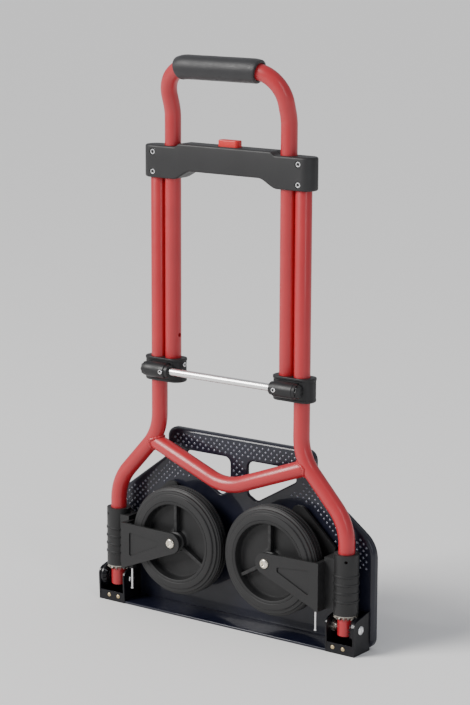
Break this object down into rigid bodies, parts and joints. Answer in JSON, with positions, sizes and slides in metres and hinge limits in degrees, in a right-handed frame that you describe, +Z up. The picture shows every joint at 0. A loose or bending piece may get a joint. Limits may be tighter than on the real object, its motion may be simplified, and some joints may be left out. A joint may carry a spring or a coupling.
{
  "type": "folding platform cart",
  "caption": "Folding platform cart with a telescopic handle, a fold-down load plate and wheels that swing out as the plate opens.",
  "frame": {"origin": "middle of the flat underside that the folded cart stands on, below the plane of the frame tubes", "axes": "+Z up along the tubes, +X to the cart's right, +Y towards the load plate"},
  "size_m": [0.436, 0.0697, 0.7692],
  "materials": {
    "red_tube": "satin powder coat",
    "red_button": "satin moulded plastic",
    "housing_plastic": "fine grained moulded plastic",
    "bracket_plastic": "fine grained moulded plastic",
    "foam": "closed cell foam",
    "rim_plastic": "moulded plastic",
    "tyre_rubber": "matt rubber",
    "plate_steel": "gloss coat over pressed sheet",
    "bracket_steel": "gloss black coat",
    "gear_metal": "dull cast metal",
    "bright_zinc": "bright zinc plate",
    "nickel": "nickel plate",
    "rod_aluminium": "drawn bar",
    "nylon": "natural nylon"
  },
  "bodies": {
    "frame": {"frame_tube_left": "red_tube", "frame_tube_right": "red_tube", "cross_brace": "red_tube", "housing_front": "housing_plastic", "housing_rear": "housing_plastic", "housing_screws": "bright_zinc", "housing_nuts": "bright_zinc", "leg_bush_left": "nylon", "leg_bush_right": "nylon", "button_spring": "bright_zinc"},
    "handle": {"handle_tube": "red_tube", "foam_grip": "foam", "cross_rod": "rod_aluminium", "clamp_left": "housing_plastic", "clamp_right": "housing_plastic", "clamp_screws_left": "bright_zinc", "clamp_screws_right": "bright_zinc"},
    "button": {"release_button": "red_button"},
    "lock_left": {"lock_pin_left": "nylon"},
    "lock_right": {"lock_pin_right": "nylon"},
    "load_plate": {"toe_plate": "plate_steel", "hinge_bracket_left": "bracket_steel", "hinge_bracket_right": "bracket_steel", "bracket_rivets_left": "bright_zinc", "bracket_rivets_right": "bright_zinc", "hinge_pin_left": "bright_zinc", "hinge_pin_right": "bright_zinc", "hinge_spacer_left": "gear_metal", "hinge_spacer_right": "gear_metal", "fold_gear_left": "bracket_steel", "fold_gear_right": "bracket_steel"},
    "bracket_left": {"wheel_bracket_left": "bracket_plastic", "crown_gear_left": "gear_metal", "stop_rod_left": "bright_zinc", "wheel_axle_left": "nickel", "axle_nut_left": "bright_zinc"},
    "wheel_left": {"wheel_rim_left": "rim_plastic", "wheel_tyre_left": "tyre_rubber", "wheel_bush_left": "nylon"},
    "bracket_right": {"wheel_bracket_right": "bracket_plastic", "crown_gear_right": "gear_metal", "stop_rod_right": "bright_zinc", "wheel_axle_right": "nickel", "axle_nut_right": "bright_zinc"},
    "wheel_right": {"wheel_rim_right": "rim_plastic", "wheel_tyre_right": "tyre_rubber", "wheel_bush_right": "nylon"}
  },
  "joints": [
    {"name": "handle_slide", "type": "slide", "parent": "frame", "child": "handle", "axis": [0, 0, 1], "range_m": [0, 0.2436]},
    {"name": "button_press", "type": "slide", "parent": "frame", "child": "button", "axis": [0, 0, -1], "range_m": [0, 0.005], "stiffness_N_per_m": 400, "springref_m": -0.003, "deforming": ["button_spring"]},
    {"name": "lock_left_slide", "type": "slide", "parent": "frame", "child": "lock_left", "axis": [1, 0, 0], "range_m": [0, 0.005]},
    {"name": "lock_right_slide", "type": "slide", "parent": "frame", "child": "lock_right", "axis": [-1, 0, 0], "range_m": [0, 0.005]},
    {"name": "plate_fold", "type": "hinge", "parent": "frame", "child": "load_plate", "pos_m": [0, 0, 0.033], "axis": [-1, 0, 0], "range_deg": [0, 90]},
    {"name": "wheel_left_fold", "type": "hinge", "parent": "frame", "child": "bracket_left", "pos_m": [-0.19, 0, 0.093], "axis": [0, 0, -1], "range_deg": [0, 90]},
    {"name": "wheel_right_fold", "type": "hinge", "parent": "frame", "child": "bracket_right", "pos_m": [0.19, 0, 0.093], "axis": [0, 0, 1], "range_deg": [0, 90]},
    {"name": "wheel_left_spin", "type": "hinge", "parent": "bracket_left", "child": "wheel_left", "pos_m": [-0.0784, -0.00575, 0.106], "axis": [0, 1, 0], "continuous": true},
    {"name": "wheel_right_spin", "type": "hinge", "parent": "bracket_right", "child": "wheel_right", "pos_m": [0.0784, -0.00575, 0.106], "axis": [0, 1, 0], "continuous": true}
  ],
  "couplings": [
    {"joint": "lock_left_slide", "follows": "button_press", "ratio": 1},
    {"joint": "lock_right_slide", "follows": "button_press", "ratio": 1},
    {"joint": "wheel_left_fold", "follows": "plate_fold", "ratio": 1},
    {"joint": "wheel_right_fold", "follows": "plate_fold", "ratio": 1}
  ]
}
